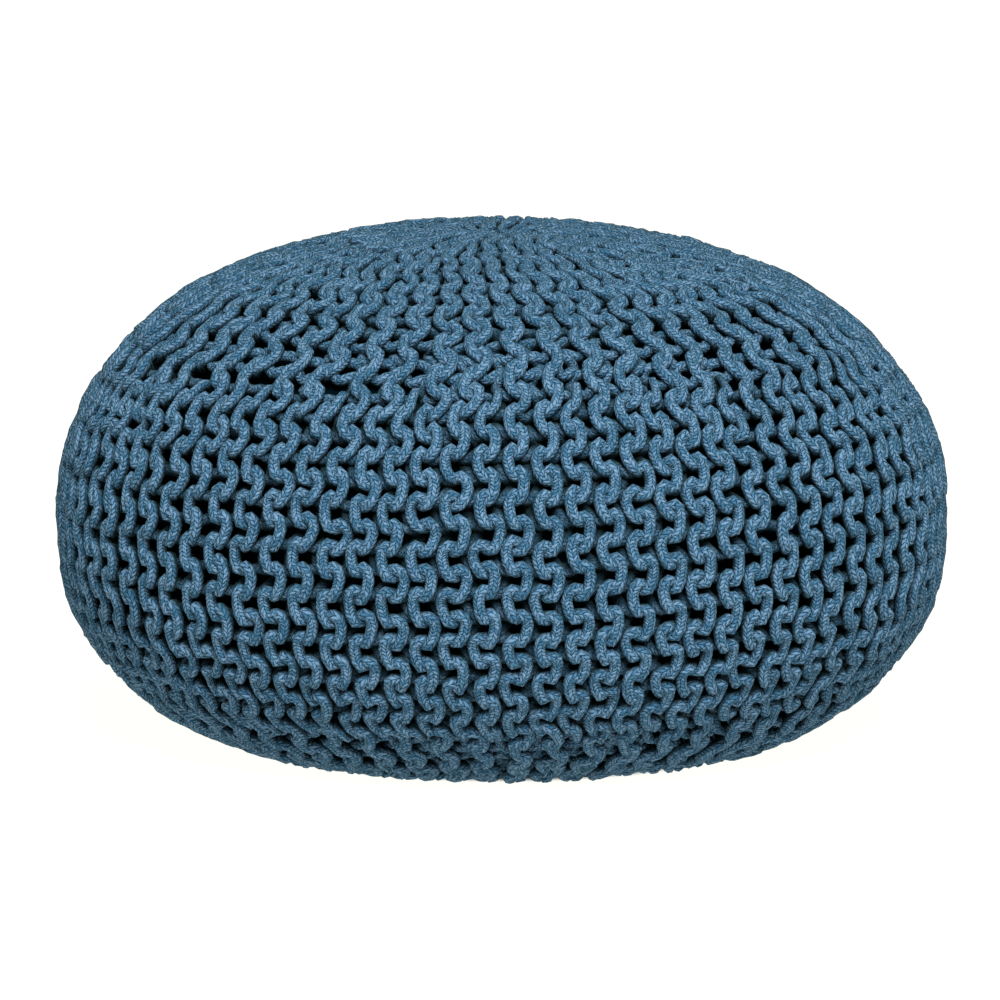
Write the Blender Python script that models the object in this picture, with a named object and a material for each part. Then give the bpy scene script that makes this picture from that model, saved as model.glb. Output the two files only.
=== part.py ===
"""Knitted pouf, as one filled solid that stands on its flat underside.

The cover is one band of garter stitch whose rows run from the crown to the foot.
Each pair of rows makes a raised ridge, and the ridge swings left and right by one
stitch. Short rows end before the crown and the foot, so that fewer ridges are left
where the pouf draws in. This solid has the ridges, their swing and the short rows.

Units are metres, +Z is up, and the origin is on the floor under the pouf's middle.
"""

import math

import bmesh
import bpy
from mathutils import Vector

# Outer shape, measured over the crests of the ridges
DIAMETER = 0.550
HEIGHT = 0.321  # at the crown, before it sinks into the dimple
WIDEST_HEIGHT = 0.142  # height above the floor where the pouf is widest
FOOT_RADIUS = 0.164  # flat spot that it stands on
CROWN_POWER = 2.25  # superellipse power of the outline above the widest height
BASE_POWER = 2.41  # and below it
DIMPLE_DEPTH = 0.006  # the crown sinks where the knitting is gathered
DIMPLE_RADIUS = 0.022

# Knitting
GORES = 14  # repeats of the short-row table round the pouf
STITCHES = 25  # along one full row, from the crown's middle to the foot's middle
RIDGE_DEPTH = 0.0060  # crest to valley
RIDGE_SWING = 0.24  # sideways swing to each side, as a share of the ridge spacing
SHORT_ROW_TAPER = 0.8  # stitches over which a short row narrows to nothing
THINNEST_RIDGE = 0.3  # share of a full ridge's width at which a short row ends
SIDE_STRETCH = 0.08  # ridges are this share wider at the left and right, and narrower in front
FOOT_FADE = 0.020  # the ridges flatten out over this length before the foot

# One gore's ridges in order: stitches left unworked at the crown and at the foot
SHORT_ROWS = (
    {"crown": 0, "foot": 0},
    {"crown": 4, "foot": 4},
    {"crown": 8, "foot": 8},
    {"crown": 1, "foot": 1},
    {"crown": 2, "foot": 2},
    {"crown": 8, "foot": 8},
)

# Slow unevenness of the filling, the same on opposite sides
LUMPS = (
    {"size": 0.0012, "lobes": 2, "turn": 0.6, "rise": 0.9},
    {"size": 0.0010, "lobes": 4, "turn": 2.1, "rise": 1.7},
    {"size": 0.0008, "lobes": 6, "turn": 4.0, "rise": 2.6},
)

YARN_COLOUR = (0.086, 0.187, 0.305, 1.0)  # denim blue, linear
YARN_ROUGHNESS = 0.92

RIDGES = GORES * len(SHORT_ROWS)
RADIUS = DIAMETER / 2
OUTLINE_STEPS = 400
SHARP_ANGLE = math.radians(75)


def crown_outline(turn):
    """Radius and height on the outline above the widest height, from 0 at the crown to pi/2."""
    radius = RADIUS * math.sin(turn) ** (2 / CROWN_POWER)
    height = WIDEST_HEIGHT + (HEIGHT - WIDEST_HEIGHT) * math.cos(turn) ** (2 / CROWN_POWER)
    return radius, height - DIMPLE_DEPTH * math.exp(-((radius / DIMPLE_RADIUS) ** 2))


def base_outline(drop):
    """Radius and height below the widest height; drop runs from 0 there to 1 at the floor."""
    lost = (1 - (FOOT_RADIUS / RADIUS) ** BASE_POWER) * drop**BASE_POWER
    return RADIUS * (1 - lost) ** (1 / BASE_POWER), WIDEST_HEIGHT * (1 - drop)


def trace_outline():
    """The outline from the crown's middle to the foot's middle as (distance, radius, height)."""
    share = [step / OUTLINE_STEPS for step in range(OUTLINE_STEPS + 1)]
    points = [crown_outline(part * math.pi / 2) for part in share]
    points += [base_outline(part) for part in share[1:]]
    points += [(FOOT_RADIUS * (1 - part), 0.0) for part in share[1:]]
    traced = [(0.0, *points[0])]
    for before, after in zip(points, points[1:]):
        traced.append((traced[-1][0] + math.dist(before, after), *after))
    return traced


OUTLINE = trace_outline()
FOOT_EDGE = OUTLINE[-1][0] - FOOT_RADIUS  # distance along the outline to the flat spot
WIDEST = OUTLINE[OUTLINE_STEPS][0]
STITCH = OUTLINE[-1][0] / STITCHES
RING_STEP = STITCH / 2  # a ridge swings once to each side in a stitch
SHORTEST_RING_STEP = 0.3  # least room for the last ring before the foot, in ring steps


def outline_at(distance):
    """Radius and height of the outline at this distance from the crown's middle."""
    for near, far in zip(OUTLINE, OUTLINE[1:]):
        if distance <= far[0]:
            share = (distance - near[0]) / (far[0] - near[0])
            return tuple(a + (b - a) * share for a, b in zip(near[1:], far[1:]))
    return OUTLINE[-1][1:]


def inward_at(distance):
    """Unit direction into the pouf, as (radius, height) parts, square to the outline."""
    step = STITCH / 10
    radius_before, height_before = outline_at(distance - step)
    radius_after, height_after = outline_at(distance + step)
    run, fall = radius_after - radius_before, height_after - height_before
    length = math.hypot(run, fall)
    return fall / length, -run / length


def ridge_widths(distance):
    """Share of a full ridge that each ridge has at this distance; 0 where its row has ended."""
    from_crown = distance / STITCH
    from_foot = STITCHES - from_crown
    widths = []
    for ridge in range(RIDGES):
        ends = SHORT_ROWS[ridge % len(SHORT_ROWS)]
        width = 1.0
        for worked, left in ((from_crown, ends["crown"]), (from_foot, ends["foot"])):
            if left:
                width = min(width, max(0.0, (worked - left) / SHORT_ROW_TAPER))
        widths.append(width if width >= THINNEST_RIDGE else 0.0)
    return widths


def stretched(turn):
    """The angle round the pouf of a ridge that lies at this turn in an even cover."""
    return turn - SIDE_STRETCH / 2 * math.sin(2 * turn)


def lump(distance, angle):
    """How far the filling pushes the surface out at this place."""
    rise = math.pi * distance / FOOT_EDGE
    fade = math.sin(min(rise, math.pi)) ** 2
    return fade * sum(
        row["size"] * math.sin(row["lobes"] * angle + row["turn"]) * math.cos(row["rise"] * rise)
        for row in LUMPS
    )


def ring_points(ring, distance):
    """The ring's points in order, as (ridge, valley point, crest point) for each ridge there."""
    widths = ridge_widths(distance)
    turn_per_width = 2 * math.pi / sum(widths)
    swing = RIDGE_SWING * turn_per_width * (1 if ring % 2 else -1)
    radius, height = outline_at(distance)
    radius_in, height_in = inward_at(distance)
    fade = min(1.0, max(0.0, (FOOT_EDGE - distance) / FOOT_FADE))
    placed = []
    passed = 0.0
    for ridge, width in enumerate(widths):
        if not width:
            continue
        valley = turn_per_width * passed + swing * fade
        crest = valley + turn_per_width * width / 2
        pair = []
        for turn, depth in ((valley, RIDGE_DEPTH * width * fade), (crest, 0.0)):
            angle = stretched(turn)
            depth -= lump(distance, angle)
            out = radius + radius_in * depth
            up = height + height_in * depth
            pair.append(Vector((out * math.sin(angle), -out * math.cos(angle), up)))
        placed.append((ridge, *pair))
        passed += width
    return placed


def start_ring(bm, placed):
    """The widest ring, as a circle of points moved to their places."""
    made = bmesh.ops.create_circle(bm, segments=2 * len(placed), radius=RADIUS)["verts"]
    made.sort(key=lambda vert: math.atan2(vert.co.x, -vert.co.y) % (2 * math.pi))
    ring = {}
    for (ridge, valley, crest), low, high in zip(placed, made[0::2], made[1::2]):
        low.co, high.co = valley, crest
        ring[ridge] = (low, high)
    return ring


def ring_loop(bm, ring):
    """The ring's points in order, and the edges that join them into a closed loop."""
    points = [vert for pair in ring.values() for vert in pair]
    edges = [bm.edges.get(ends) for ends in zip(points, points[1:] + points[:1])]
    return points, edges


def next_ring(bm, ring, placed):
    """Extrudes a ring to its next place. The points of a short row that has ended are welded
    into the valley after it."""
    points, edges = ring_loop(bm, ring)
    made = set(bmesh.ops.extrude_edge_only(bm, edges=edges)["geom"])
    new = {}
    for old in points:
        new[old] = next(edge.other_vert(old) for edge in old.link_edges if edge.other_vert(old) in made)
    places = {ridge: (valley, crest) for ridge, valley, crest in placed}
    living = [ridge for ridge in ring if ridge in places]
    grown, welds = {}, {}
    for ridge, pair in ring.items():
        low, high = (new[vert] for vert in pair)
        if ridge in places:
            low.co, high.co = places[ridge]
            grown[ridge] = (low, high)
        else:
            after = next((other for other in living if other > ridge), living[0])
            welds[low] = welds[high] = new[ring[after][0]]
    if welds:
        bmesh.ops.weld_verts(bm, targetmap=welds)
    return grown


def build_knitted_cover():
    """The whole pouf: rings from the widest height up to the crown and down to the foot."""
    bm = bmesh.new()
    first = round(WIDEST / RING_STEP)
    last = int(FOOT_EDGE / RING_STEP - SHORTEST_RING_STEP)
    widest = start_ring(bm, ring_points(first, first * RING_STEP))
    crown_ring = foot_ring = widest
    for number in range(first - 1, 0, -1):
        crown_ring = next_ring(bm, crown_ring, ring_points(number, number * RING_STEP))
    for number in range(first + 1, last + 1):
        foot_ring = next_ring(bm, foot_ring, ring_points(number, number * RING_STEP))
    foot_ring = next_ring(bm, foot_ring, ring_points(last + 1, FOOT_EDGE))
    close_crown(bm, crown_ring)
    close_foot(bm, foot_ring)
    bmesh.ops.recalc_face_normals(bm, faces=bm.faces)
    return bm


def close_crown(bm, ring):
    """Draws the last ring together into the gathered middle of the crown."""
    _, edges = ring_loop(bm, ring)
    made = bmesh.ops.extrude_edge_only(bm, edges=edges)["geom"]
    middle = [item for item in made if isinstance(item, bmesh.types.BMVert)]
    bmesh.ops.pointmerge(bm, verts=middle, merge_co=(0, 0, outline_at(0)[1]))


def close_foot(bm, ring):
    """Fills the flat spot with one level face."""
    points, _ = ring_loop(bm, ring)
    for vert in points:
        vert.co.z = 0.0
    bmesh.ops.contextual_create(bm, geom=points)


def yarn_material():
    material = bpy.data.materials.new("denim_blue_cotton")
    material.use_nodes = True
    shader = material.node_tree.nodes["Principled BSDF"]
    shader.inputs["Base Color"].default_value = YARN_COLOUR
    shader.inputs["Roughness"].default_value = YARN_ROUGHNESS
    material.diffuse_color = YARN_COLOUR
    return material


def main():
    for old in list(bpy.data.objects):
        bpy.data.objects.remove(old)
    bm = build_knitted_cover()
    mesh = bpy.data.meshes.new("knitted_pouf")
    bm.to_mesh(mesh)
    bm.free()
    mesh.shade_smooth()
    mesh.set_sharp_from_angle(angle=SHARP_ANGLE)
    mesh.materials.append(yarn_material())
    pouf = bpy.data.objects.new("knitted_pouf", mesh)
    bpy.context.scene.collection.objects.link(pouf)


main()
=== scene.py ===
import math

import bmesh
import bpy
import numpy as np
from bpy.props import FloatProperty, FloatVectorProperty, IntProperty, PointerProperty
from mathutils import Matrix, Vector, noise


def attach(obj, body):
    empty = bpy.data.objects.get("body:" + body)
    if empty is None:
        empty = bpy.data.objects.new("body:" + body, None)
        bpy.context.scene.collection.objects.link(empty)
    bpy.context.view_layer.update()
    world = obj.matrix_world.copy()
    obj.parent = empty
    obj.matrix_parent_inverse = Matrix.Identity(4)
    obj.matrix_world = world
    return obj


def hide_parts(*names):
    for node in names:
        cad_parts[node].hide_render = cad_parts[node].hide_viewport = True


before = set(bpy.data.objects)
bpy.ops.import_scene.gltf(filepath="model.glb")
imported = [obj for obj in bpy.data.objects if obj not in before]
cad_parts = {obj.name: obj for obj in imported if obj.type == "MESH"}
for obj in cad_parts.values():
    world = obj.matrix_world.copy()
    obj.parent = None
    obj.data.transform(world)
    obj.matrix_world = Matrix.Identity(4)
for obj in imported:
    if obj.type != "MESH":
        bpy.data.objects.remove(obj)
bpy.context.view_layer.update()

bl_info = {
    "name": "Knitted pouf",
    "version": (1, 0, 0),
    "blender": (4, 5, 0),
    "location": "3D View > Sidebar > Pouf",
    "description": "A round floor cushion in a chunky garter-stitch cover of braided cord",
    "category": "Add Mesh",
}

NODE = "knitted_pouf"
MM = 0.001

# Knitting, as in the solid
GORES = 14  # repeats of the short rows round the pouf
SHORT_ROWS = (0, 4, 8, 1, 2, 8)  # stitches left unworked at each end of one gore's ridges
STITCHES = 25  # along one full row, from the crown's middle to the foot's middle
SIDE_STRETCH = 0.08  # ridges are this share wider at the left and right, and narrower in front

# Outline, as in the solid
CROWN_POWER = 2.25  # superellipse power above the widest height
BASE_POWER = 2.41  # and below it
LUMPS = (  # slow unevenness of the filling
    {"size": 0.0012, "lobes": 2, "turn": 0.6, "rise": 0.9},
    {"size": 0.0010, "lobes": 4, "turn": 2.1, "rise": 1.7},
    {"size": 0.0008, "lobes": 6, "turn": 4.0, "rise": 2.6},
)


class PoufShape(bpy.types.PropertyGroup):
    """Outer sizes of the pouf, over the crests of the knitting"""

    diameter: FloatProperty(
        name="Diameter",
        description="Across the widest place",
        default=0.550,
        unit="LENGTH",
    )
    height: FloatProperty(
        name="Height",
        description="At the crown, before it sinks in",
        default=0.321,
        unit="LENGTH",
    )
    widest_height: FloatProperty(
        name="Widest Height",
        description="Height of the widest place",
        default=0.142,
        unit="LENGTH",
    )
    foot_radius: FloatProperty(
        name="Foot Radius",
        description="Flat spot that it stands on",
        default=0.164,
        unit="LENGTH",
    )
    dimple_depth: FloatProperty(
        name="Dimple Depth",
        description="How far the crown's middle sinks",
        default=0.006,
        unit="LENGTH",
    )
    dimple_radius: FloatProperty(
        name="Dimple Radius",
        description="Reach of that dimple",
        default=0.022,
        unit="LENGTH",
    )


class PoufStitch(bpy.types.PropertyGroup):
    """Sizes of the yarn and its loops"""

    yarn_width: FloatProperty(
        name="Yarn Width",
        description="Diameter of the cord",
        default=0.0076,
        unit="LENGTH",
    )
    swing: FloatProperty(
        name="Swing",
        description="How far the loops in front swing to each side of a ridge",
        default=0.0067,
        unit="LENGTH",
    )
    row_gap: FloatProperty(
        name="Row Gap",
        description="Between a ridge's two rows, as a share of the ridge spacing",
        default=0.42,
    )
    curl: FloatProperty(
        name="Loop Curl",
        description="How far a loop closes on itself",
        default=0.0054,
        unit="LENGTH",
    )
    relief: FloatProperty(
        name="Relief",
        description="Depth of the crossing legs below the front loops",
        default=0.0074,
        unit="LENGTH",
    )
    phase: FloatProperty(
        name="Phase",
        description="Where the first loop lies, in stitches",
        default=-0.28,
    )
    lift: FloatProperty(
        name="Lift",
        description="Rise of the rings of stitches on the right",
        default=0.010,
        unit="LENGTH",
    )
    unevenness: FloatProperty(
        name="Unevenness",
        description="How much the stitches differ",
        default=1.0,
        min=0.0,
    )
    seed: IntProperty(
        name="Seed",
        description="Seed of the unevenness",
        default=7,
        min=0,
    )


class PoufFinish(bpy.types.PropertyGroup):
    """Colours of the cord and the filling"""

    yarn: FloatVectorProperty(
        name="Yarn",
        description="Colour of the cord",
        subtype="COLOR",
        size=3,
        default=(0.023, 0.083, 0.147),
    )
    # dark colour for the gaps between the plaits: painted shade there, broken up by fibre grain
    groove: FloatVectorProperty(
        name="Groove",
        description="Between the plaits",
        subtype="COLOR",
        size=3,
        default=(0.003, 0.014, 0.026),
    )
    # pale fleck colour: painted highlight on the plait tops, partly random fibre tone
    fleck: FloatVectorProperty(
        name="Fleck",
        description="On the plaits",
        subtype="COLOR",
        size=3,
        default=(0.119, 0.210, 0.314),
    )
    # near-black: painted shade for the holes, which the cord's painted shade also goes over to
    filling: FloatVectorProperty(
        name="Filling",
        description="Seen through the holes",
        subtype="COLOR",
        size=3,
        default=(0.0005, 0.0062, 0.0100),
    )
    roughness: FloatProperty(
        name="Roughness",
        description="Of the cord",
        default=0.92,
        min=0.0,
        max=1.0,
    )


class PoufStudio(bpy.types.PropertyGroup):
    """Floor and camera"""

    floor: FloatVectorProperty(
        name="Floor",
        description="Colour of the floor",
        subtype="COLOR",
        size=3,
        default=(1.0, 1.0, 1.0),
    )
    distance: FloatProperty(
        name="Camera Distance",
        description="From the pouf's middle",
        default=5.5,
        unit="LENGTH",
    )
    elevation: FloatProperty(
        name="Camera Elevation",
        description="Above the level",
        default=math.radians(8.5),
        subtype="ANGLE",
    )


def smooth(value, low, high):
    """0 where the value is at low or under, 1 at high or over, smooth between."""
    share = np.clip((value - low) / (high - low), 0, 1)
    return share**2 * (3 - 2 * share)


def near_crown(distance, reach):
    """1 at the crown's middle, about a third at this reach from it, and 0 far off."""
    return np.exp(-((distance / reach) ** 2))


class Outline:
    """The outline from the crown's middle to the foot's middle, over the crests of the yarn."""

    STEPS = 400  # along the crown, along the base and across the foot
    SPACING = MM  # of the samples that are kept
    SMOOTHING = 8  # samples to each side over which kinks are evened out

    def __init__(self, shape):
        wide = shape.diameter / 2
        part = np.linspace(0, 1, self.STEPS + 1)
        turn = part * math.pi / 2
        rise = shape.height - shape.widest_height
        crown_radius = wide * np.sin(turn) ** (2 / CROWN_POWER)
        crown_height = shape.widest_height + rise * np.abs(np.cos(turn)) ** (2 / CROWN_POWER)
        crown_height -= shape.dimple_depth * near_crown(crown_radius, shape.dimple_radius)
        drop = part[1:]
        lost = (1 - (shape.foot_radius / wide) ** BASE_POWER) * drop**BASE_POWER
        base_radius = wide * (1 - lost) ** (1 / BASE_POWER)
        base_height = shape.widest_height * (1 - drop)
        foot_radius = shape.foot_radius * (1 - drop)
        radius = np.concatenate([crown_radius, base_radius, foot_radius])
        height = np.concatenate([crown_height, base_height, 0 * foot_radius])
        along = np.concatenate([[0], np.cumsum(np.hypot(np.diff(radius), np.diff(height)))])
        self.length = along[-1]
        self.foot_edge = self.length - shape.foot_radius
        self.stitch = self.length / STITCHES
        self.distance = np.linspace(0, self.length, int(self.length / self.SPACING))
        self.radius = self.smoothed(np.interp(self.distance, along, radius), -1)
        self.height = self.smoothed(np.interp(self.distance, along, height), 1)
        run = np.gradient(self.radius, self.distance)
        fall = np.gradient(self.height, self.distance)
        length = np.hypot(run, fall)
        self.radius_in = fall / length
        self.height_in = -run / length

    def smoothed(self, values, mirror):
        """Evens out kinks; past the two middles, the outline goes on as its mirror image."""
        reach = self.SMOOTHING
        kernel = np.hanning(2 * reach + 3)[1:-1]
        before = mirror * values[reach:0:-1]
        after = mirror * values[-2 : -reach - 2 : -1]
        padded = np.concatenate([before, values, after])
        return np.convolve(padded, kernel / kernel.sum(), mode="valid")

    def at(self, values, distance):
        """What one of the sampled values is at these distances."""
        return np.interp(distance, self.distance, values)

    def place(self, distance, turn, depth):
        """Points this far along the outline, round the pouf and below the crests."""
        angle = turn - SIDE_STRETCH / 2 * np.sin(2 * turn)
        depth = depth - self.lump(distance, angle)
        out = self.at(self.radius, distance) + self.at(self.radius_in, distance) * depth
        up = self.at(self.height, distance) + self.at(self.height_in, distance) * depth
        return np.stack([out * np.sin(angle), -out * np.cos(angle), up], axis=-1)

    def lump(self, distance, angle):
        """How far the filling pushes the surface out at this place."""
        rise = math.pi * distance / self.foot_edge
        push = sum(
            row["size"] * np.sin(row["lobes"] * angle + row["turn"]) * np.cos(row["rise"] * rise)
            for row in LUMPS
        )
        return push * np.sin(np.clip(rise, 0, math.pi)) ** 2


class Value:
    """A socket of a shader; arithmetic on it adds Math nodes."""

    def __init__(self, finish, socket):
        self.finish = finish
        self.socket = socket

    def math(self, operation, *others):
        """Adds a Math node for this operation on the value and the others."""
        inputs = dict(enumerate((self, *others)))
        return self.finish.node("ShaderNodeMath", {"operation": operation}, inputs)

    def __add__(self, other):
        return self.math("ADD", other)

    __radd__ = __add__

    def __sub__(self, other):
        return self.math("SUBTRACT", other)

    def __rsub__(self, other):
        return self.finish.node("ShaderNodeMath", {"operation": "SUBTRACT"}, {0: other, 1: self})

    def __mul__(self, other):
        return self.math("MULTIPLY", other)

    __rmul__ = __mul__

    def __pow__(self, other):
        return self.math("POWER", other)

    def __abs__(self):
        return self.math("ABSOLUTE")


GRAIN_DETAIL = 2.0  # of every noise
GRAIN_MIDDLE = 0.5  # value that a noise swings round


class Finish:
    """A material built from nodes."""

    def __init__(self, name, colour):
        self.material = bpy.data.materials.new(name)
        self.material.use_nodes = True
        self.material.diffuse_color = (*colour, 1.0)
        self.tree = self.material.node_tree
        self.shader = self.tree.nodes["Principled BSDF"]

    def node(self, kind, settings=None, inputs=None, output=0):
        """Adds a node, sets it up, fills or links its inputs, and gives one of its outputs."""
        node = self.tree.nodes.new(kind)
        for name, value in (settings or {}).items():
            setattr(node, name, value)
        self.fill(node, inputs or {})
        return Value(self, node.outputs[output])

    def fill(self, node, inputs):
        """Sets a node's inputs, or links those that come from another node."""
        for name, value in inputs.items():
            if isinstance(value, Value):
                self.tree.links.new(value.socket, node.inputs[name])
            else:
                node.inputs[name].default_value = value

    def mix(self, share, low, high):
        """A colour between two colours; inputs 6 and 7 and output 2 are the node's colour ones."""
        low, high = (c if isinstance(c, Value) else (*c, 1.0) for c in (low, high))
        settings = {"data_type": "RGBA"}
        return self.node("ShaderNodeMix", settings, {"Factor": share, 6: low, 7: high}, output=2)

    def ramp(self, value, low, high):
        """0 where the value is at low or under, 1 at high or over, smooth between."""
        settings = {"interpolation_type": "SMOOTHSTEP"}
        inputs = {"Value": value, "From Min": low, "From Max": high}
        return self.node("ShaderNodeMapRange", settings, inputs)

    def place(self):
        """Where a point is on the piece, as it was made."""
        return self.node("ShaderNodeTexCoord", output="Object")

    def grain(self, scale):
        """A noise from 0 to 1 that is fixed to the piece."""
        inputs = {"Vector": self.place(), "Scale": scale, "Detail": GRAIN_DETAIL}
        return self.node("ShaderNodeTexNoise", inputs=inputs)


# Braid of the cord
PLAITS = 4  # columns of V-shaped plaits round the cord
PLAIT_LENGTH = 0.0026  # along the cord
PLAIT_SLANT = 0.9  # how far the arms of a V run along the cord, in plaits
PLAIT_FULLNESS = 0.6  # power of a plait's rounding; the lower, the fuller
GROOVE = (0.70, 1.0)  # where an arm's edge groove starts and ends, from its middle to its edge
GROOVE_DEPTH = 0.75  # share of the relief that the groove takes away
FIBRE_SCALE = 1100.0  # of the noise for single fibres
PATCH_SCALE = 55.0  # of the noise for patches with more and fewer pale flecks
FIBRE_RELIEF = 0.35  # height of the fibres, as a share of a plait's
BUMP_STRENGTH = 0.9
BUMP_HEIGHT = 0.0009  # of a plait

# How the braid is coloured: painted shade in the grooves, the yarn colour on the plaits, and pale
# flecks that are partly painted highlight on the plait tops and partly random fibre tone
FULL = {"relief": 0.8, "fibre": 1.3}  # what lifts a spot from the groove's painted shade to yarn colour
FULL_RANGE = (0.0, 0.55)
FLECK_HIGHLIGHT = {"relief": 0.7, "fibre": 2.2, "tone": 0.8}  # what lifts it on to the fleck colour: a painted highlight on the plait tops, with random fibre and arm tone
FLECK_HIGHLIGHT_RANGE = (0.20, 1.0)
FLECK_HIGHLIGHT_LEAST = 0.55  # share of the fleck colour on a flecked spot of the darkest patch
FLECK_HIGHLIGHT_PATCHES = 0.6  # and how much more there is on the palest

# Painted shade: how the cord's colour darkens towards the filling colour in the hollows between the
# loops
DEEPEST = 0.020  # depth below the crests at which the depth attribute is 1
SHADE_FROM = -0.0020  # counted depth at which the painted shade starts
SHADE_TO = 0.0096  # counted depth at which it is as dark as the filling
SINK_SHADE = 1.05  # how much a strand's own depth counts in that
ROUND_SHADE = 2.6  # how much the depth below the strand's middle counts


def braid(finish):
    """Height of the V-shaped plaits from 0 to 1, and a random tone for each arm of a V."""
    uv = finish.node("ShaderNodeUVMap", {"uv_map": "cord"})
    along = finish.node("ShaderNodeSeparateXYZ", inputs={"Vector": uv}, output="X")
    around = Value(finish, along.socket.node.outputs["Y"])
    column = abs(2 * (around * PLAITS).math("FRACT") - 1)
    slanted = along + PLAIT_SLANT * column
    plait = abs((math.pi * slanted).math("SINE")) ** PLAIT_FULLNESS
    groove = finish.ramp(abs(2 * column - 1), *GROOVE)
    inputs = {"X": slanted.math("FLOOR"), "Y": (around * 2 * PLAITS).math("FLOOR")}
    numbers = finish.node("ShaderNodeCombineXYZ", inputs=inputs)
    settings = {"noise_dimensions": "2D"}
    tone = finish.node("ShaderNodeTexWhiteNoise", settings, {"Vector": numbers})
    return plait * (1 - GROOVE_DEPTH * groove), tone


def cord_finish(colours):
    """Matte braided cotton cord, with plaits in columns along the strand; its colour holds painted
    shade in the grooves and hollows and painted highlights on the plaits.
    """
    finish = Finish("denim_blue_cotton_cord", colours.yarn)
    relief, tone = braid(finish)
    fibre = finish.grain(FIBRE_SCALE)
    patch = finish.grain(PATCH_SCALE)
    fibre_part = FLECK_HIGHLIGHT["fibre"] * (fibre - GRAIN_MIDDLE)
    tone_part = FLECK_HIGHLIGHT["tone"] * (tone - GRAIN_MIDDLE)
    fleck_highlight = finish.ramp(FLECK_HIGHLIGHT["relief"] * relief + fibre_part + tone_part, *FLECK_HIGHLIGHT_RANGE)
    fibre_part = FULL["fibre"] * (fibre - GRAIN_MIDDLE)
    full = finish.ramp(FULL["relief"] * relief + fibre_part, *FULL_RANGE)
    # painted shade in the gaps between the plaits, broken up by fibre grain
    base = finish.mix(full, colours.groove, colours.yarn)
    # pale flecks: painted highlight on the plait tops, partly random fibre, arm and patch tone
    base = finish.mix(fleck_highlight * (FLECK_HIGHLIGHT_LEAST + FLECK_HIGHLIGHT_PATCHES * patch), base, colours.fleck)
    # painted shade: where the counted depth from mark_depth is great, the colour goes over to the
    # filling colour
    depth = finish.node("ShaderNodeAttribute", {"attribute_name": "depth"}, output="Fac")
    shade = finish.ramp(depth, SHADE_FROM / DEEPEST, SHADE_TO / DEEPEST)
    height = relief + FIBRE_RELIEF * fibre
    inputs = {"Strength": BUMP_STRENGTH, "Distance": BUMP_HEIGHT, "Height": height}
    finish.fill(
        finish.shader,
        {
            "Base Color": finish.mix(shade, base, colours.filling),
            "Roughness": colours.roughness,
            "Specular IOR Level": 0.08,
            "Sheen Weight": 0.08,
            "Sheen Roughness": 0.6,
            "Sheen Tint": (0.30, 0.60, 0.62, 1.0),
            "Normal": finish.node("ShaderNodeBump", inputs=inputs),
        },
    )
    return finish.material


MOTTLE_SCALE = 400.0  # of the noise that mottles the filling
MOTTLE_DARK = 0.6  # its darkest spots, as a share of the filling's colour


def filling_finish(colours):
    """Surface of the filling, which only shows through the holes of the knitting; its near-black
    colour is painted shade in those holes.
    """
    finish = Finish("filling_cloth", colours.filling)
    dark = tuple(MOTTLE_DARK * part for part in colours.filling)
    finish.fill(
        finish.shader,
        {
            "Base Color": finish.mix(finish.grain(MOTTLE_SCALE), dark, colours.filling),
            "Roughness": 1.0,
            "Specular IOR Level": 0.0,
        },
    )
    return finish.material


FLOOR_SHARE = 0.20  # of the floor's colour that it throws back; the rest is its own glow
FLOOR_GLOW = (1.0, 1.0, 0.93)
GLOW_STRENGTH = 1.02
UNDER_POUF_SHADOW = (0.02, 0.03, 0.04)  # painted shadow: the floor's dim glow where the pouf stands
GLOW_FROM = 0.022  # how far inside the foot's edge the glow starts
GLOW_FULL = 0.006  # and how far inside it is full


def floor_finish(studio, shape):
    """A plain floor as bright as the background, with a painted shadow where the pouf stands on it.
    """
    finish = Finish("white_floor", studio.floor)
    settings = {"operation": "LENGTH"}
    out = finish.node("ShaderNodeVectorMath", settings, {0: finish.place()}, output="Value")
    edge = shape.foot_radius
    glow = finish.ramp(out, edge - GLOW_FROM, edge - GLOW_FULL)
    finish.fill(
        finish.shader,
        {
            "Base Color": (*(FLOOR_SHARE * part for part in studio.floor), 1.0),
            "Roughness": 1.0,
            "Specular IOR Level": 0.0,
            # the glow, with a painted shadow where the pouf stands
            "Emission Color": finish.mix(glow, UNDER_POUF_SHADOW, FLOOR_GLOW),
            "Emission Strength": GLOW_STRENGTH,
        },
    )
    return finish.material


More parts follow.
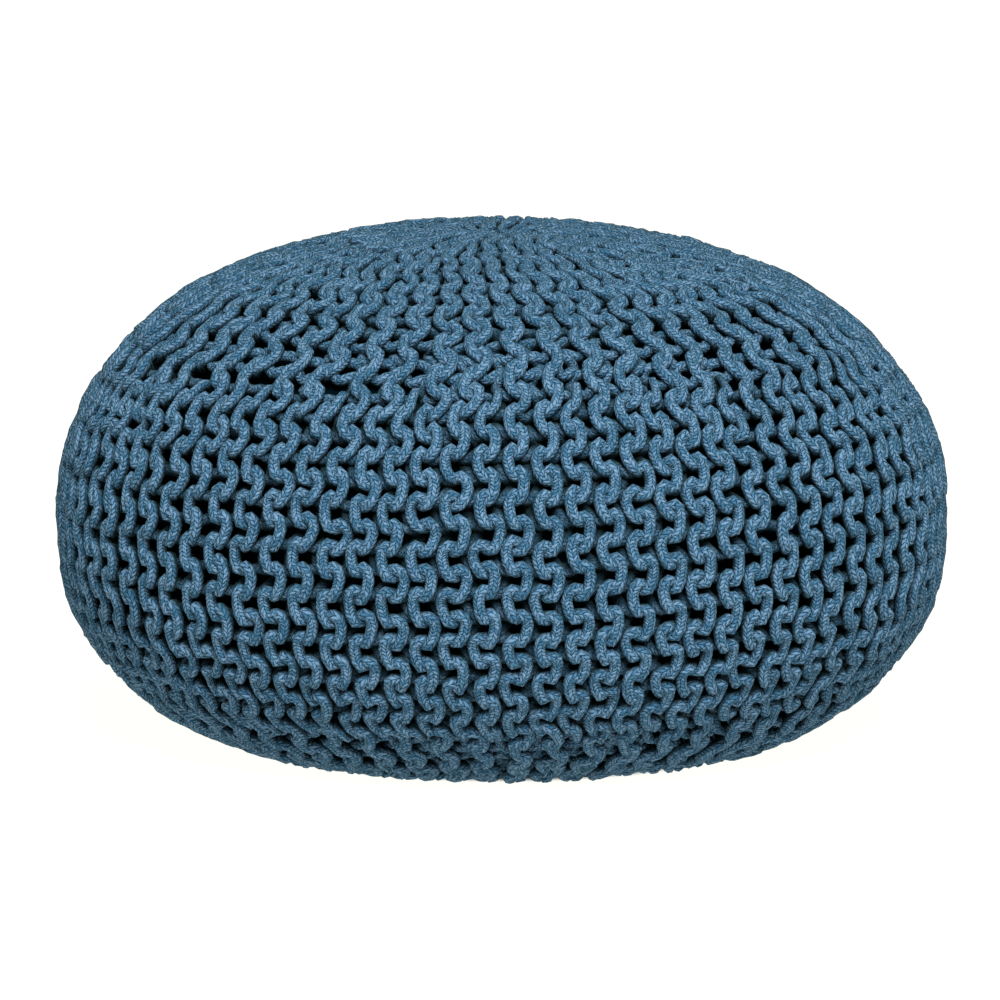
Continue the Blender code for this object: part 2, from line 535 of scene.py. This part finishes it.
class Knitting:
    """Works out the paths of the yarn in one gore after the other."""

    # Points of a row
    STEPS = 18  # along one stitch
    STEP_SHIFT = 0.012  # stitches by which they draw together where the yarn passes through
    LEAST_RADIUS = 0.004  # nearer to the crown's middle, the ridges don't narrow any more
    END_ROOM = 0.5 * MM  # least distance from the crown's middle and from the foot's

    # Where rows end, in stitches
    CROWN_MARGINS = (0.2, -0.4, 0.7, 0.4, 0.2, 0.7)  # from a row's upper end to its first loop
    FOOT_MARGIN = 0.2  # the same at the lower end
    ROOM_BEFORE = 0.3  # before a short row's end, where its neighbours start to part
    ROOM_TAPER = 2.0  # over which they make room
    FOOT_TAPER = 1.2  # the same towards the foot

    # Turn from one row to the next
    TURN_BULGE = 0.006  # how far the yarn swings past the row's last stitch
    TURN_STEPS = 4  # points between the two rows

    # Form of a loop
    ROUNDNESS = 0.06  # share of a triple beat that rounds off the loops' shoulders
    CURL_ROUNDNESS = 0.03  # share of a double beat that broadens their heads
    BACK_EASE = 0.55  # share of the curl that is lost behind
    STEEPNESS = 0.22  # how quickly that changes between the front and the back
    SKEW = 0.0017  # how far above their middle the loops reach their widest
    DIVE = (36, 92)  # degrees past a loop's middle where the yarn goes down beside its neighbour
    SINK = (125, 175)  # and where it goes on down to the back of the cover
    BACK_DEPTH = 0.85  # depth of that second step, as a share of the first
    WAIST = 0.08  # share by which the cord is thinner between two loops

    # Where the ridges crowd, as at the crown
    FULL_PITCH = 0.0165  # spacing of the ridges under which they count as crowded
    TIGHT_YARN = 0.42  # least share of the cord's thickness
    TIGHT_RELIEF = 0.6  # least share of the relief
    FREE_SHARE = 1.10  # most of the room beside a row that its swing takes; over 1, rows touch
    TIGHT_SHARE = 0.8  # how much more of it the swing takes there
    TIGHT_SHADE = 0.45  # how much more the depth adds to the cord's painted shade there

    # Where the ridges lie far apart, as round the widest place
    WIDE_PITCH = (18.6 * MM, 22.6 * MM)  # spacings over which the swing lessens
    STRETCH_LOSS = 0.38  # share of the swing that is lost
    STRETCH_FROM = 20.5 * MM  # spacing at which the cover starts to count as stretched
    STRETCH_SPAN = 4 * MM  # how much wider it is where it is fully stretched
    STRETCH_FLAT = 0.25  # share of the relief that is lost there
    OPEN_LIGHT = 0.45  # share of the painted shade that is lost there, because the holes let light in

    # Form of a ridge
    RIDGE_ROUND = 0.0075  # how far it falls off from its middle to its edge
    RIDGE_TOP = 0.17  # share of that by which its middle is raised, so that it meets the crests

    # Crown and foot
    FLAT_CROWN = 0.45  # share of the relief that is lost at the crown's middle
    CROWN_REACH = 0.10  # how far from the middle that reaches
    SETTLED = 0.0017  # how far the cover has settled at the crown's middle
    SETTLED_REACH = 0.13  # how far from the middle that reaches
    TWIST = 0.30  # radians by which the rows lag behind at the crown's middle
    TWIST_REACH = 0.12  # how far from the middle that reaches
    FLAT_FOOT = 0.36  # share of the relief that is lost at the foot
    FOOT_REACH = 0.030  # how far before the flat spot that starts
    FOOT_OPEN = 0.3  # the foot counts as this much stretched for the cord's painted shade

    # Unevenness
    UNEVEN = {  # spread from stitch to stitch
        "curl": 0.12,  # as a share of itself
        "swing": 0.10,
        "relief": 0.08,
        "along": 1.1 * MM,
        "across": 0.8 * MM,
        "depth": 0.4 * MM,
    }
    UNEVEN_EVERY = 0.5  # stitches from one random value to the next
    UNEVEN_LIMIT = 2  # most that a value may differ, in spreads
    WANDER = 1.6 * MM  # how far whole patches of stitches lie off
    WANDER_SCALE = 22  # of the noise that shifts them
    CROWN_CALM = 0.6  # share of that shift that is lost at the crown's middle

    def __init__(self, shape, sizes):
        self.outline = Outline(shape)
        self.sizes = sizes
        self.rng = np.random.default_rng(sizes.seed)
        noise.seed_set(sizes.seed + 1)  # without a seed, or with 0, the noise starts from the clock
        self.left = np.array(SHORT_ROWS, float)

    def ridges(self, distance, ridge):
        """Middle and width of one ridge at these distances, as shares of a gore."""
        worked = (distance / self.outline.stitch)[:, None]
        sooner = max(self.CROWN_MARGINS) - np.array(self.CROWN_MARGINS)
        margins = self.ROOM_BEFORE + sooner
        from_crown = (worked - self.left + margins) / self.ROOM_TAPER
        from_foot = (STITCHES - worked - self.left + self.ROOM_BEFORE) / self.FOOT_TAPER
        open_share = smooth(np.minimum(from_crown, from_foot), 0, 1)
        widths = np.where(self.left > 0, open_share, 1.0)
        before = widths[:, :ridge].sum(axis=1)
        total = widths.sum(axis=1)
        width = widths[:, ridge]
        return (before + width / 2) / total, width / total

    def beats(self, ridge):
        """A row's points in stitches, from its first loop to its last."""
        left = self.left[ridge]
        phase = -self.sizes.phase
        first = math.ceil(2 * (left + phase + self.CROWN_MARGINS[ridge])) / 2
        last = math.floor(2 * (STITCHES - left + phase - self.FOOT_MARGIN)) / 2
        beat = np.linspace(first, last, int(round((last - first) * self.STEPS)) + 1)
        return beat + self.STEP_SHIFT * np.sin(4 * math.pi * beat)

    def uneven(self, beat, kind):
        """A smooth random change along a row, of one of the kinds in UNEVEN."""
        size = self.UNEVEN[kind]
        every = self.UNEVEN_EVERY
        knots = np.arange(beat[0], beat[-1] + 2 * every, every)
        values = self.rng.normal(0, size * self.sizes.unevenness, len(knots))
        limit = self.UNEVEN_LIMIT * size
        return np.interp(beat, knots, np.clip(values, -limit, limit))

    def angle(self, gore, share, distance):
        """Angle round the pouf of a share of a gore; at the crown, gathered rows lag behind."""
        twist = self.TWIST * near_crown(distance, self.TWIST_REACH)
        return 2 * math.pi * (gore + share) / GORES - twist

    def along(self, beat, side):
        """How far along the outline a row's points lie, with each loop closing on itself."""
        turn = 2 * math.pi * beat
        middle = self.outline.stitch * (beat + self.sizes.phase)
        front = (1 + self.STEEPNESS) * np.cos(turn) - self.STEEPNESS * np.cos(3 * turn)
        curl = self.sizes.curl * (1 + self.uneven(beat, "curl"))
        curl = curl * (1 - self.BACK_EASE * (1 - side * front) / 2)
        bend = np.sin(2 * turn) + self.CURL_ROUNDNESS * np.sin(4 * turn)
        distance = middle + curl * bend + self.uneven(beat, "along")
        return distance - self.SKEW * np.cos(2 * turn)

    def lifted(self, distance, angle):
        """Those distances, changed so that the rings of stitches rise towards the right."""
        fade = np.sin(math.pi * np.clip(distance / self.outline.length, 0, 1))
        return distance - self.sizes.lift * np.sin(angle) * fade

    def across(self, beat, side, pitch, room, yarn):
        """How far a row's points lie from the middle of their ridge."""
        turn = 2 * math.pi * beat
        drift = self.uneven(beat, "across")
        gap = self.sizes.row_gap / 2 * pitch
        free = pitch / 2 - yarn
        swing = self.sizes.swing * (1 - self.STRETCH_LOSS * smooth(pitch, *self.WIDE_PITCH))
        swing = np.minimum(swing, (self.FREE_SHARE + self.TIGHT_SHARE * (1 - room)) * free)
        reach = gap + swing * (1 + self.uneven(beat, "swing"))
        sway = (np.cos(turn) + self.ROUNDNESS * np.cos(3 * turn)) / (1 + self.ROUNDNESS)
        return reach * sway - side * gap + drift

    def depths(self, beat, side, distance, edge, room, stretch, yarn):
        """How far a row's points lie below the crests, and how much of that counts for the cord's
        painted shade.
        """
        turn = 2 * math.pi * beat
        pressed = np.clip((distance - self.outline.foot_edge) / self.FOOT_REACH + 1, 0, 1)
        flat = self.FLAT_CROWN * near_crown(distance, self.CROWN_REACH)
        flat = flat + self.FLAT_FOOT * pressed
        relief = self.sizes.relief * (self.TIGHT_RELIEF + (1 - self.TIGHT_RELIEF) * room)
        relief = relief * (1 - self.STRETCH_FLAT * stretch) * (1 - flat)
        relief = relief * (1 + self.uneven(beat, "relief"))
        away = np.degrees(np.arccos(np.clip(side * np.cos(turn), -1, 1)))
        dive = smooth(away, *self.DIVE)
        sink = dive + self.BACK_DEPTH * smooth(away, *self.SINK)
        rounded = self.RIDGE_ROUND * (edge - self.RIDGE_TOP) * (1 - dive) * (1 - flat)
        settled = self.SETTLED * near_crown(distance, self.SETTLED_REACH)
        depth = yarn + relief * sink + rounded + settled + self.uneven(beat, "depth")
        light = self.OPEN_LIGHT * np.maximum(stretch, self.FOOT_OPEN * pressed)
        return depth, (depth - settled) * (1 - light)

    def row(self, gore, ridge, side):
        """Path of one row: side is 1 for the knit row and -1 for the purl row."""
        outline = self.outline
        beat = self.beats(ridge)
        distance = self.along(beat, side)
        share, _ = self.ridges(distance, ridge)
        angle = self.angle(gore, share, distance)
        squeeze = 1 - SIDE_STRETCH * np.cos(2 * angle)
        distance = self.lifted(distance, angle)
        share, width = self.ridges(distance, ridge)
        radius = np.maximum(outline.at(outline.radius, distance), self.LEAST_RADIUS)
        pitch = 2 * math.pi / GORES * width * radius
        room = np.clip(pitch / self.FULL_PITCH, 0, 1)
        stretch = np.clip((pitch - self.STRETCH_FROM) / self.STRETCH_SPAN, 0, 1)
        pitch = pitch * squeeze
        yarn = self.sizes.yarn_width / 2 * (self.TIGHT_YARN + (1 - self.TIGHT_YARN) * room)
        across = self.across(beat, side, pitch, room, yarn)
        angle = self.angle(gore, share, distance) + across / (radius * squeeze)
        edge = np.clip(2 * across / pitch, -1, 1) ** 2
        depth, sunk = self.depths(beat, side, distance, edge, room, stretch, yarn)
        thickness = yarn * (1 - self.WAIST * np.sin(2 * math.pi * beat) ** 2)
        tight = 1 + self.TIGHT_SHADE * (1 - room)
        return np.stack([distance, angle, depth, thickness, sunk, tight], axis=-1)

    def turned(self, end, start, way):
        """The yarn's way round from the last point of one row to the first of the next."""
        points = []
        for step in range(1, self.TURN_STEPS + 1):
            share = step / (self.TURN_STEPS + 1)
            mixed = end + (start - end) * (1 - math.cos(math.pi * share)) / 2
            mixed[0] += way * self.TURN_BULGE * math.sin(math.pi * share)
            points.append(mixed)
        return np.array(points)

    def strand(self, gore, ridge):
        """The closed path of the yarn down one row of a ridge and back up the other."""
        knit = self.row(gore, ridge, 1)
        purl = self.row(gore, ridge, -1)[::-1]
        path = np.concatenate(
            [knit, self.turned(knit[-1], purl[0], 1), purl, self.turned(purl[-1], knit[0], -1)]
        )
        distance, angle, depth, radii, sunk, tight = path.T
        distance = np.clip(distance, self.END_ROOM, self.outline.length - self.END_ROOM)
        points = self.outline.place(distance, angle, depth)
        inward = self.outline.place(distance, angle, depth + MM) - points
        scale = self.WANDER_SCALE
        shift = np.array([noise.noise_vector(Vector(point) * scale) for point in points])
        calm = 1 - self.CROWN_CALM * near_crown(distance, self.CROWN_REACH)
        points += shift * calm[:, None] * self.WANDER * self.sizes.unevenness
        points[:, 2] = np.maximum(points[:, 2], radii)
        return {
            "points": points,
            "radii": radii,
            "depth": sunk,
            "tight": tight,
            "inward": inward / MM,
        }


CORD_BEVEL = 2  # bevel resolution, which gives the cord eight sides
CORNERS = 4  # of one face of the cord


def cord_mesh(name, strands):
    """A round cord along each closed path, with a map that follows the cord."""
    mesh = swept_mesh(name, strands)
    sides = len(mesh.vertices) // sum(len(strand["points"]) for strand in strands)
    map_plaits(mesh, strands, sides)
    mark_depth(mesh, strands, sides)
    mesh.shade_smooth()
    return mesh


def swept_mesh(name, strands):
    """The mesh of a curve with one closed spline for each strand, as thick as its radii."""
    curve = bpy.data.curves.new(name, "CURVE")
    curve.dimensions = "3D"
    curve.bevel_depth = 1.0
    curve.bevel_resolution = CORD_BEVEL
    for strand in strands:
        points = strand["points"]
        spline = curve.splines.new("POLY")
        spline.points.add(len(points) - 1)
        placed = np.concatenate([points, np.ones((len(points), 1))], axis=1)
        spline.points.foreach_set("co", placed.ravel())
        spline.points.foreach_set("radius", strand["radii"])
        spline.use_cyclic_u = True
        spline.use_smooth = True
    holder = bpy.data.objects.new(name, curve)
    bpy.context.scene.collection.objects.link(holder)
    graph = bpy.context.evaluated_depsgraph_get()
    mesh = bpy.data.meshes.new_from_object(
        holder.evaluated_get(graph), preserve_all_data_layers=True, depsgraph=graph
    )
    bpy.data.objects.remove(holder)
    bpy.data.curves.remove(curve)
    mesh.name = name
    return mesh


def map_plaits(mesh, strands, sides):
    """Stretches the map along each strand so that it counts the plaits, a whole number of them."""
    layer = mesh.uv_layers[0]
    layer.name = "cord"
    uv = np.empty(len(mesh.loops) * 2)
    layer.data.foreach_get("uv", uv)
    uv = uv.reshape(-1, 2)
    start = 0
    for strand in strands:
        points = strand["points"]
        count = len(points)
        steps = np.linalg.norm(np.diff(points, axis=0, append=points[:1]), axis=1)
        along = np.concatenate([[0], np.cumsum(steps)])
        plaits = along / along[-1] * round(along[-1] / PLAIT_LENGTH)
        end = start + count * sides * CORNERS
        shares = np.linspace(0, 1, count + 1)
        uv[start:end, 0] = np.interp(uv[start:end, 0], shares, plaits)
        start = end
    layer.data.foreach_set("uv", uv.ravel())


def mark_depth(mesh, strands, sides):
    """Gives each point its counted depth below the crests, as the share of DEEPEST in an attribute
    called depth, which sets the cord's painted shade.
    """
    places = np.empty(len(mesh.vertices) * 3)
    mesh.vertices.foreach_get("co", places)
    joined = {key: np.concatenate([strand[key] for strand in strands]) for key in strands[0]}
    offset = places.reshape(-1, sides, 3) - joined["points"][:, None]
    below = np.einsum("nsk,nk->ns", offset, joined["inward"])
    depth = SINK_SHADE * joined["depth"][:, None] + ROUND_SHADE * below
    depth = depth * joined["tight"][:, None]
    attribute = mesh.attributes.new("depth", "FLOAT", "POINT")
    attribute.data.foreach_set("value", (depth / DEEPEST).ravel())


def add_piece(name, mesh, material):
    """Adds a piece that rides on the pouf's one body and stands for its solid."""
    mesh.materials.clear()
    mesh.materials.append(material)
    piece = bpy.data.objects.new(name, mesh)
    bpy.context.scene.collection.objects.link(piece)
    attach(piece, "root")
    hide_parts(NODE)
    return piece


class POUF_OT_knitted_gores(bpy.types.Operator):
    """Knit the cover: fourteen gores of garter-stitch ridges, with a row of loops on each side"""

    bl_idname = "pouf.knitted_gores"
    bl_label = "Knitted Gores"

    def execute(self, context):
        scene = context.scene
        knitting = Knitting(scene.pouf_shape, scene.pouf_stitch)
        cord = cord_finish(scene.pouf_finish)
        for gore in range(GORES):
            strands = [knitting.strand(gore, ridge) for ridge in range(len(SHORT_ROWS))]
            name = f"knitted_gore_{gore + 1:02d}"
            add_piece(name, cord_mesh(name, strands), cord)
        return {"FINISHED"}


class POUF_OT_filling(bpy.types.Operator):
    """Fill the cover with a soft round cushion that lies against the backs of the loops"""

    bl_idname = "pouf.filling"
    bl_label = "Filling"

    DEPTH = 0.0175  # of its surface below the crests
    RINGS = 60  # from the crown's middle to the foot's
    SEGMENTS = 96  # round it
    WELD = 0.05 * MM  # points closer than this are joined

    def execute(self, context):
        scene = context.scene
        outline = Outline(scene.pouf_shape)
        distance = np.linspace(0, outline.length, self.RINGS + 1)
        profile = outline.place(distance, 0.0, self.DEPTH)
        bm = bmesh.new()
        verts = [bm.verts.new((0.0, min(0.0, y), z)) for _, y, z in profile]
        edges = [bm.edges.new(pair) for pair in zip(verts, verts[1:])]
        bmesh.ops.spin(
            bm,
            geom=verts + edges,
            cent=(0, 0, 0),
            axis=(0, 0, 1),
            angle=2 * math.pi,
            steps=self.SEGMENTS,
            use_merge=True,
        )
        bmesh.ops.remove_doubles(bm, verts=bm.verts, dist=self.WELD)
        bmesh.ops.recalc_face_normals(bm, faces=bm.faces)
        mesh = bpy.data.meshes.new("filling")
        bm.to_mesh(mesh)
        bm.free()
        mesh.shade_smooth()
        piece = add_piece("filling", mesh, filling_finish(scene.pouf_finish))
        return {"FINISHED"}


class POUF_OT_studio(bpy.types.Operator):
    """Set up the floor, the light and the camera"""

    bl_idname = "pouf.studio"
    bl_label = "Studio"

    FLOOR_REACH = 12.0  # from its middle to each side
    SKY_COLOUR = (1.0, 1.0, 0.80, 1.0)
    SKY_STRENGTH = 0.22
    SOFTBOX_PLACE = (0.28, -2.52, 2.27)
    SOFTBOX_AIM = (0, 0, 0.15)
    SOFTBOX_SIZE = 1.8
    SOFTBOX_POWER = 214.0
    SOFTBOX_COLOUR = (0.93, 0.965, 1.0)
    LENS = 321.0  # in millimetres, as the next
    SENSOR = 36.0
    SEEN_TO = 50.0  # how far the camera sees
    MIDDLE = (0, 0, 0.160)  # of the pouf, from which the camera's place is counted
    CAMERA_AIM = (-0.0010, 0, 0.1482)

    def execute(self, context):
        scene = context.scene
        self.add_floor(scene)
        self.add_sky(scene)
        self.add_softbox(scene)
        self.add_camera(scene)
        return {"FINISHED"}

    def add_floor(self, scene):
        bm = bmesh.new()
        bmesh.ops.create_grid(bm, x_segments=1, y_segments=1, size=self.FLOOR_REACH)
        mesh = bpy.data.meshes.new("floor")
        bm.to_mesh(mesh)
        bm.free()
        mesh.materials.append(floor_finish(scene.pouf_studio, scene.pouf_shape))
        floor = bpy.data.objects.new("floor", mesh)
        scene.collection.objects.link(floor)

    def add_sky(self, scene):
        world = bpy.data.worlds.new("studio")
        world.use_nodes = True
        background = world.node_tree.nodes["Background"]
        background.inputs["Color"].default_value = self.SKY_COLOUR
        background.inputs["Strength"].default_value = self.SKY_STRENGTH
        scene.world = world
        scene.view_settings.view_transform = "Standard"

    def add_softbox(self, scene):
        data = bpy.data.lights.new("softbox", "AREA")
        data.shape = "DISK"
        data.size = self.SOFTBOX_SIZE
        data.energy = self.SOFTBOX_POWER
        data.color = self.SOFTBOX_COLOUR
        softbox = bpy.data.objects.new("softbox", data)
        self.place(softbox, self.SOFTBOX_PLACE, self.SOFTBOX_AIM)
        scene.collection.objects.link(softbox)

    def add_camera(self, scene):
        data = bpy.data.cameras.new("camera")
        data.lens = self.LENS
        data.sensor_width = self.SENSOR
        data.clip_end = self.SEEN_TO
        camera = bpy.data.objects.new("camera", data)
        turn = scene.pouf_studio.elevation
        back = scene.pouf_studio.distance * Vector((0, -math.cos(turn), math.sin(turn)))
        self.place(camera, Vector(self.MIDDLE) + back, self.CAMERA_AIM)
        scene.collection.objects.link(camera)
        scene.camera = camera

    def place(self, thing, place, aim):
        """Puts a light or a camera in its place and turns it to what it is aimed at."""
        thing.location = place
        way = Vector(aim) - thing.location
        thing.rotation_euler = way.to_track_quat("-Z", "Y").to_euler()


class POUF_PT_sidebar(bpy.types.Panel):
    """Lists the pouf's sizes, colours and pieces"""

    bl_idname = "POUF_PT_sidebar"
    bl_label = "Knitted Pouf"
    bl_space_type = "VIEW_3D"
    bl_region_type = "UI"
    bl_category = "Pouf"

    def draw(self, context):
        for group in GROUPS:
            box = self.layout.box()
            owner = getattr(context.scene, group)
            for name in owner.bl_rna.properties.keys():
                if name not in ("name", "rna_type"):
                    box.prop(owner, name)
        for operator in OPERATORS:
            self.layout.operator(operator.bl_idname)


GROUPS = {
    "pouf_shape": PoufShape,
    "pouf_stitch": PoufStitch,
    "pouf_finish": PoufFinish,
    "pouf_studio": PoufStudio,
}
OPERATORS = (POUF_OT_studio, POUF_OT_knitted_gores, POUF_OT_filling)


def register():
    for cls in (*GROUPS.values(), *OPERATORS, POUF_PT_sidebar):
        bpy.utils.register_class(cls)
    for name, cls in GROUPS.items():
        setattr(bpy.types.Scene, name, PointerProperty(type=cls))


def unregister():
    for name in GROUPS:
        delattr(bpy.types.Scene, name)
    for cls in reversed((*GROUPS.values(), *OPERATORS, POUF_PT_sidebar)):
        bpy.utils.unregister_class(cls)


def main():
    register()
    bpy.ops.pouf.studio()
    bpy.ops.pouf.knitted_gores()
    bpy.ops.pouf.filling()


if __name__ == "__main__":
    main()
